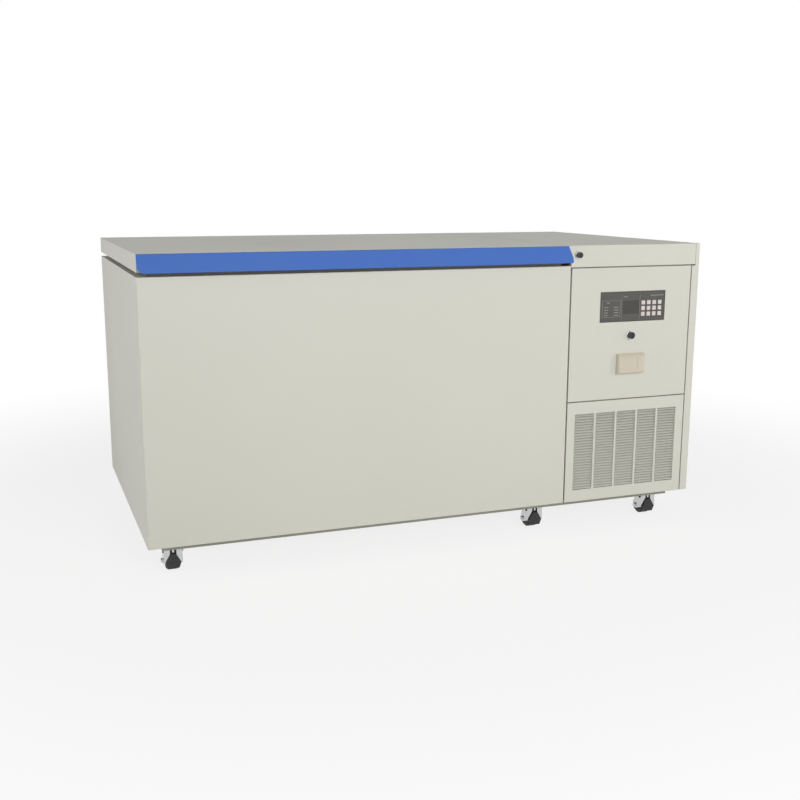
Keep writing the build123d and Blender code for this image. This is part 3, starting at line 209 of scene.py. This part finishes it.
def dust_group():
    """Mask = speckled noise, strongest at the floor and fading out up to Height, times Amount."""
    sockets = [("Amount", "NodeSocketFloat", 0.3), ("Height", "NodeSocketFloat", 0.12)]
    group, start, end = new_group("floor_dust", sockets, [("Mask", "NodeSocketFloat")])
    place = node(group, "ShaderNodeTexCoord")
    noise = node(group, "ShaderNodeTexNoise", in_Scale=160.0, in_Detail=4.0)
    parts = node(group, "ShaderNodeSeparateXYZ")
    low = node(group, "ShaderNodeMapRange", in_1=0.0, in_3=1.0, in_4=0.0)
    speckle = node(group, "ShaderNodeMapRange", in_1=0.4, in_2=0.65)
    both = node(group, "ShaderNodeMath", operation="MULTIPLY")
    amount = node(group, "ShaderNodeMath", operation="MULTIPLY", use_clamp=True)
    link = group.links.new
    link(place.outputs["Object"], noise.inputs["Vector"])
    link(place.outputs["Object"], parts.inputs[0])
    link(parts.outputs["Z"], low.inputs[0])
    link(start.outputs["Height"], low.inputs[2])
    link(noise.outputs["Fac"], speckle.inputs[0])
    link(low.outputs[0], both.inputs[0])
    link(speckle.outputs[0], both.inputs[1])
    link(both.outputs[0], amount.inputs[0])
    link(start.outputs["Amount"], amount.inputs[1])
    link(amount.outputs[0], end.inputs["Mask"])
    return group


TONE = tone_group()
GRAIN = grain_group()
EDGE = edge_group()
DUST = dust_group()
print("node groups:", [group.name for group in (TONE, GRAIN, EDGE, DUST)])

# %% [markdown]
# One function builds a finish from the groups: the drifting tone, a painted highlight along the edges,
# the fine grain as a bump, and dust low down where it is asked for. Each finish then only states what makes
# it different. Numbers that are the same all over the surface go straight on the shader.

# %% Finish builder
def finish(name, colour, rough=(0.4, 0.5), spread=0.05, scale=2.5, grain=(900.0, 0.00006),
           stretch=(1, 1, 1), edge=(0.001, 0.0), highlight_colour=None, metallic=0.0, specular=0.5,
           coat=0.0, dust=0.0):
    """A Principled material with tone, a painted edge highlight, grain and dust from the shared groups."""
    material = bpy.data.materials.new(name)
    material.use_nodes = True
    material.diffuse_color = linear(*colour)
    tree = material.node_tree
    shader = tree.nodes["Principled BSDF"]
    link = tree.links.new
    tone = node(tree, "ShaderNodeGroup", node_tree=TONE, in_Base=linear(*colour), in_Spread=spread)
    tone.inputs["Scale"].default_value = scale
    tone.inputs["Rough low"].default_value = rough[0]
    tone.inputs["Rough high"].default_value = rough[1]
    line = node(tree, "ShaderNodeGroup", node_tree=EDGE, in_Radius=edge[0], in_Gain=edge[1])
    # Painted highlight: along the edges the mask mixes in the lighter highlight colour.
    painted_highlight = node(tree, "ShaderNodeMix", data_type="RGBA")
    painted_highlight.inputs[7].default_value = linear(*(highlight_colour or colour))
    peel = node(tree, "ShaderNodeGroup", node_tree=GRAIN, in_Scale=grain[0], in_Stretch=stretch)
    bump = node(tree, "ShaderNodeBump", in_Strength=1.0, in_Distance=grain[1])
    link(tone.outputs["Color"], painted_highlight.inputs[6])
    link(line.outputs["Mask"], painted_highlight.inputs[0])
    link(line.outputs["Normal"], bump.inputs["Normal"])
    link(peel.outputs["Height"], bump.inputs["Height"])
    link(bump.outputs["Normal"], shader.inputs["Normal"])
    link(tone.outputs["Roughness"], shader.inputs["Roughness"])
    last = painted_highlight.outputs[2]
    if dust:
        film = node(tree, "ShaderNodeGroup", node_tree=DUST, in_Amount=dust)
        grey = node(tree, "ShaderNodeMix", data_type="RGBA")
        grey.inputs[7].default_value = linear(150, 146, 136)
        link(film.outputs["Mask"], grey.inputs[0])
        link(last, grey.inputs[6])
        last = grey.outputs[2]
    link(last, shader.inputs["Base Color"])
    shader.inputs["Metallic"].default_value = metallic
    shader.inputs["Specular IOR Level"].default_value = specular
    shader.inputs["Coat Weight"].default_value = coat
    return material


def dress(material, *nodes_named):
    """Gives CAD pieces a finish by their own material slots."""
    for named in nodes_named:
        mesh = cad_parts[named].data
        mesh.materials.clear()
        mesh.materials.append(material)
    print(material.name, "on", len(nodes_named), "pieces")


# %% [markdown]
# The cabinet, the lid and the bay are folded steel sheet with a warm white powder coat. It is only
# a little glossy, has a fine orange peel, and gets a painted highlight, a lighter line along its folds.

# %% Painted steel
cabinet_paint = finish("cabinet_paint", (214, 213, 202), rough=(0.42, 0.5), spread=0.03, scale=1.6,
                       grain=(650.0, 0.00005), edge=(0.0025, 1.6), highlight_colour=(238, 237, 228),
                       specular=0.3)
dress(cabinet_paint, "outer_shell", "lid_shell", "side_panel", "top_cover", "control_panel",
      "front_grille_panel", "rear_panel")
# Painted shade: the front frame is a darker grey than the panels, so the gaps between the panels show as
# dark lines.
frame_paint = finish("frame_paint", (168, 168, 152), rough=(0.45, 0.55), spread=0.05, scale=5.0,
                     grain=(650.0, 0.00005), edge=(0.0015, 1.2), highlight_colour=(205, 205, 192))
dress(frame_paint, "front_frame")
# Painted shade: the base frame has the cabinet paint darkened to how it looks in the shade under the body;
# dust is added low down.
base_paint = finish("base_paint", (150, 150, 136), rough=(0.45, 0.6), spread=0.15, scale=7.0,
                    grain=(500.0, 0.0001), edge=(0.0012, 2.0), highlight_colour=(196, 196, 184), dust=0.35)
dress(base_paint, "base_frame")

# %% [markdown]
# The long handle strip is one blue moulding. Its colour is strong and even, with the fine grain of
# a moulded plastic and a satin sheen.

# %% Handle plastic
handle_blue = finish("handle_blue", (70, 112, 192), rough=(0.46, 0.54), spread=0.03, scale=4.0,
                     grain=(1400.0, 0.00004), edge=(0.0012, 1.0), highlight_colour=(112, 150, 216), specular=0.2)
dress(handle_blue, "lid_handle")

# %% [markdown]
# Inside, the chamber is sheet steel with a bright skin, the throat and the lid's inner panel are
# white plastic, and a grey rubber gasket seals between them. The brushed look comes from the same
# grain group, stretched so that its specks turn into lines.

# %% Inside of the chest
liner_steel = finish("liner_steel", (196, 198, 200), rough=(0.28, 0.4), spread=0.06, scale=4.0,
                     grain=(260.0, 0.00004), stretch=(0.06, 0.06, 5.0), metallic=0.9)
dress(liner_steel, "inner_liner")
throat_plastic = finish("throat_plastic", (214, 213, 206), rough=(0.4, 0.5), spread=0.03,
                        grain=(900.0, 0.00005), edge=(0.0015, 0.8), highlight_colour=(232, 231, 226))
dress(throat_plastic, "throat_frame")
lid_inner_plastic = finish("lid_inner_plastic", (226, 226, 222), rough=(0.35, 0.45), spread=0.03,
                           grain=(700.0, 0.00006), edge=(0.002, 0.8), highlight_colour=(242, 242, 240))
dress(lid_inner_plastic, "lid_inner_panel")
gasket_rubber = finish("gasket_rubber", (88, 88, 86), rough=(0.6, 0.75), spread=0.12, scale=12.0,
                       grain=(1200.0, 0.00008), edge=(0.001, 1.0), highlight_colour=(120, 120, 118))
dress(gasket_rubber, "lid_gasket")
foam = finish("foam", (222, 204, 150), rough=(0.8, 0.95), spread=0.15, scale=30.0, grain=(420.0, 0.0006))
dress(foam, "insulation_foam", "lid_foam")

# %% [markdown]
# The steel fittings are zinc plated hinges and bright chrome on the casters and lock collars.
# Chrome is a full metal with low roughness. Zinc is greyer, with a cloudy drift of tone.

# %% Metal fittings
hinge_steel = finish("hinge_steel", (168, 170, 172), rough=(0.35, 0.5), spread=0.2, scale=25.0,
                     grain=(400.0, 0.00005), edge=(0.001, 1.5), highlight_colour=(215, 216, 218), metallic=0.85)
dress(hinge_steel, "hinge_brackets", "hinge_arms")
caster_chrome = finish("caster_chrome", (206, 207, 209), rough=(0.12, 0.24), spread=0.08, scale=40.0,
                       grain=(500.0, 0.00002), edge=(0.001, 1.0), highlight_colour=(240, 240, 242), metallic=1.0,
                       dust=0.25)
dress(caster_chrome, "caster_plates", *[f"caster_fork_{n}" for n in range(1, 7)])
lock_chrome = finish("lock_chrome", (206, 206, 204), rough=(0.08, 0.16), spread=0.05, scale=60.0,
                     grain=(800.0, 0.00001), metallic=1.0)
dress(lock_chrome, "lock_collars")
tube_copper = finish("tube_copper", (190, 118, 84), rough=(0.25, 0.45), spread=0.3, scale=30.0,
                     grain=(500.0, 0.00003), metallic=1.0)
dress(tube_copper, "evaporator_coil", "pipework")
condenser_aluminium = finish("condenser_aluminium", (150, 152, 154), rough=(0.35, 0.5), spread=0.15,
                             scale=20.0, grain=(300.0, 0.0001), stretch=(6.0, 1.0, 0.2), metallic=0.8)
dress(condenser_aluminium, "condenser")

# %% [markdown]
# The small plastic parts come next. The fascia is dark grey film, the keys are pale rubber domes,
# the data logger is beige, and the lock plugs, pedals and wheels are black.

# %% Small plastic parts
fascia_plastic = finish("fascia_plastic", (72, 71, 67), rough=(0.35, 0.45), spread=0.08, scale=18.0,
                        grain=(1600.0, 0.00003), edge=(0.0008, 1.2), highlight_colour=(110, 108, 102))
dress(fascia_plastic, "control_fascia")
display_glass = finish("display_glass", (54, 50, 46), rough=(0.1, 0.18), spread=0.06, scale=30.0,
                       grain=(900.0, 0.00001), coat=0.4)
dress(display_glass, "display_window")
case_plastic = finish("case_plastic", (60, 60, 62), rough=(0.5, 0.6), grain=(900.0, 0.00008))
dress(case_plastic, "controller_case")
key_plastic = finish("key_plastic", (222, 208, 204), rough=(0.45, 0.55), spread=0.06, scale=60.0,
                     grain=(1500.0, 0.00004), edge=(0.0015, 1.0), highlight_colour=(236, 226, 222))
dress(key_plastic, *[f"key_{r}_{c}" for r in range(1, 4) for c in range(1, 5)])
lock_black = finish("lock_black", (34, 33, 34), rough=(0.25, 0.4), spread=0.2, scale=80.0,
                    grain=(900.0, 0.00004), edge=(0.0008, 2.0), highlight_colour=(96, 95, 96))
dress(lock_black, "power_key_cylinder", "lid_lock_cylinder")
logger_plastic = finish("logger_plastic", (206, 197, 179), rough=(0.45, 0.55), spread=0.05, scale=30.0,
                        grain=(1100.0, 0.00006), edge=(0.0018, 1.2), highlight_colour=(232, 225, 210))
dress(logger_plastic, "data_logger")
pedal_black = finish("pedal_black", (19, 19, 20), rough=(0.4, 0.55), spread=0.2, scale=50.0,
                     grain=(900.0, 0.0001), edge=(0.0012, 2.0), highlight_colour=(70, 69, 67), dust=0.08)
dress(pedal_black, "brake_pedal_1", "brake_pedal_2", "brake_pedal_3")
wheel_nylon = finish("wheel_nylon", (22, 22, 23), rough=(0.5, 0.65), spread=0.2, scale=40.0,
                     grain=(700.0, 0.00015), edge=(0.0015, 1.5), highlight_colour=(60, 59, 57), dust=0.2)
dress(wheel_nylon, *[f"caster_wheel_{n}" for n in range(1, 7)])
gland_plastic = finish("gland_plastic", (46, 46, 48), rough=(0.4, 0.5), grain=(900.0, 0.00006),
                       edge=(0.0008, 1.5), highlight_colour=(96, 96, 98))
dress(gland_plastic, "power_gland")
fan_plastic = finish("fan_plastic", (44, 44, 45), rough=(0.4, 0.55), spread=0.1, grain=(700.0, 0.0001),
                     edge=(0.001, 1.5), highlight_colour=(88, 88, 88))
dress(fan_plastic, "fan_shroud", "condenser_fan")
compressor_paint = finish("compressor_paint", (28, 28, 29), rough=(0.25, 0.4), spread=0.1, scale=12.0,
                          grain=(300.0, 0.00012), edge=(0.0015, 1.0), highlight_colour=(80, 80, 80), coat=0.2)
dress(compressor_paint, "compressors")

# %% [markdown]
# The fascia's film is printed: a thin frame in its left third, two upright divisions, and small
# plain marks. Each mark is a very thin plate just in front of the film, all of them in one mesh,
# which is how a print of some thickness would sit.

# %% Printed marks on the fascia
PRINT_T = 0.0002


def node_box(named):
    """Lowest and highest corner of a CAD piece."""
    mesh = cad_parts[named].data
    points = np.empty(len(mesh.vertices) * 3)
    mesh.vertices.foreach_get("co", points)
    points = points.reshape(-1, 3)
    return points.min(0), points.max(0)


def marks_on(named, spans):
    """Thin plates in front of a piece, from shares (left, right, top, bottom) of its width and height."""
    box_low, box_high = node_box(named)
    span = np.asarray(spans, float)
    left = box_low[0] + span[:, 0] * (box_high[0] - box_low[0])
    right_edge = box_low[0] + span[:, 1] * (box_high[0] - box_low[0])
    high = box_high[2] - span[:, 2] * (box_high[2] - box_low[2])
    under = box_high[2] - span[:, 3] * (box_high[2] - box_low[2])
    front = np.full(len(span), box_low[1])
    return block_arrays(np.stack([left, front - PRINT_T, under], 1), np.stack([right_edge, front, high], 1))


frame_spans = [(0.03, 0.31, 0.28, 0.29), (0.03, 0.31, 0.84, 0.85), (0.03, 0.035, 0.29, 0.84),
               (0.305, 0.31, 0.29, 0.84), (0.329, 0.333, 0.1, 0.95), (0.609, 0.613, 0.1, 0.95)]
legend_spans = [(x, x + width, y, y + 0.025) for x, width in ((0.06, 0.06), (0.21, 0.07))
                for y in np.arange(0.50, 0.82, 0.09)]
legend_spans += [(0.36, 0.42, 0.155, 0.185), (0.78, 0.98, 0.135, 0.16), (0.10, 0.14, 0.345, 0.375)]
pale_print = finish("pale_print", (150, 148, 142), rough=(0.5, 0.6), spread=0.1, scale=80.0)
add_piece("fascia_print", *marks_on("control_fascia", frame_spans + legend_spans),
          "cabinet", pale_print)
print("printed marks:", len(frame_spans) + len(legend_spans))

# %% [markdown]
# The floor is a plain pale sheet that keeps a soft shadow close to the freezer and melts into white
# further out, where the world takes over. The part of its light that reaches the camera, a mirror
# or glass is partly its own white, which leaves the light on the freezer alone.

# %% Floor
FLOOR_HALF = 40.0
SHADE_NEAR = 1.2
SHADE_FAR = 3.2
NEAR_GLOW = 0.82


def floor_material():
    """Diffuse white mixed with a plain white glow, whose share grows with distance."""
    material = bpy.data.materials.new("floor_white")
    material.use_nodes = True
    tree = material.node_tree
    tree.nodes.clear()
    out = node(tree, "ShaderNodeOutputMaterial")
    sheet = node(tree, "ShaderNodeBsdfDiffuse", in_Color=(0.8, 0.8, 0.79, 1))
    glow = node(tree, "ShaderNodeEmission", in_Strength=1.0)
    rays = node(tree, "ShaderNodeLightPath")
    seen = node(tree, "ShaderNodeMath", operation="ADD")
    also = node(tree, "ShaderNodeMath", operation="ADD", use_clamp=True)
    place = node(tree, "ShaderNodeTexCoord")
    far = node(tree, "ShaderNodeVectorMath", operation="LENGTH")
    share = node(tree, "ShaderNodeMapRange", interpolation_type="SMOOTHSTEP", in_1=SHADE_NEAR,
                 in_2=SHADE_FAR, in_3=NEAR_GLOW)
    both = node(tree, "ShaderNodeMath", operation="MULTIPLY")
    mix = node(tree, "ShaderNodeMixShader")
    link = tree.links.new
    link(rays.outputs["Is Camera Ray"], seen.inputs[0])
    link(rays.outputs["Is Glossy Ray"], seen.inputs[1])
    link(seen.outputs[0], also.inputs[0])
    link(rays.outputs["Is Transmission Ray"], also.inputs[1])
    link(place.outputs["Object"], far.inputs[0])
    link(far.outputs["Value"], share.inputs[0])
    link(also.outputs[0], both.inputs[0])
    link(share.outputs[0], both.inputs[1])
    link(both.outputs[0], mix.inputs[0])
    link(sheet.outputs[0], mix.inputs[1])
    link(glow.outputs[0], mix.inputs[2])
    link(mix.outputs[0], out.inputs[0])
    return material


corners = np.array([(-1, -1, 0), (1, -1, 0), (1, 1, 0), (-1, 1, 0)], float) * FLOOR_HALF
floor_mesh = bpy.data.meshes.new("floor")
floor_mesh.from_pydata(corners.tolist(), [], [(0, 1, 2, 3)])
floor_mesh.materials.append(floor_material())
floor = bpy.data.objects.new("floor", floor_mesh)
bpy.context.scene.collection.objects.link(floor)

# %% [markdown]
# The light is a plain soft studio: a broad lamp in front, a weaker one on each side, and a little
# light from all round. The lamps are kept at a level at which the front shows its paint about as
# it is written.

# %% World and lamps
AROUND = 0.20


def studio_world():
    """White that the camera, mirrors and glass see at 1, while other rays get the dim fill."""
    world = bpy.data.worlds.new("studio")
    world.use_nodes = True
    tree = world.node_tree
    tree.nodes.clear()
    out = node(tree, "ShaderNodeOutputWorld")
    fill = node(tree, "ShaderNodeBackground", in_Color=(1, 1, 1, 1), in_Strength=AROUND)
    white = node(tree, "ShaderNodeBackground", in_Color=(1, 1, 1, 1), in_Strength=1.0)
    rays = node(tree, "ShaderNodeLightPath")
    seen = node(tree, "ShaderNodeMath", operation="ADD")
    also = node(tree, "ShaderNodeMath", operation="ADD", use_clamp=True)
    mix = node(tree, "ShaderNodeMixShader")
    link = tree.links.new
    link(rays.outputs["Is Camera Ray"], seen.inputs[0])
    link(rays.outputs["Is Glossy Ray"], seen.inputs[1])
    link(seen.outputs[0], also.inputs[0])
    link(rays.outputs["Is Transmission Ray"], also.inputs[1])
    link(also.outputs[0], mix.inputs[0])
    link(fill.outputs[0], mix.inputs[1])
    link(white.outputs[0], mix.inputs[2])
    link(mix.outputs[0], out.inputs[0])
    bpy.context.scene.world = world


def lamp(name, place, aim, size, power):
    """A square area lamp that looks from its place to its aim."""
    data = bpy.data.lights.new(name, "AREA")
    data.size = size
    data.energy = power
    made = bpy.data.objects.new(name, data)
    look = (Vector(aim) - Vector(place)).to_track_quat("-Z", "Y")
    made.matrix_world = Matrix.Translation(place) @ look.to_matrix().to_4x4()
    bpy.context.scene.collection.objects.link(made)
    return made


studio_world()
lamp("front_lamp", (0.4, -5.2, 1.9), (0.0, -0.4, 0.5), 2.0, 118.0)
lamp("left_lamp", (-4.5, -1.2, 1.4), (-0.9, 0.0, 0.5), 2.5, 55.0)
lamp("right_lamp", (4.2, -3.2, 1.6), (0.4, 0.0, 0.5), 2.5, 45.0)
scene_view = bpy.context.scene.view_settings
scene_view.view_transform = "Standard"
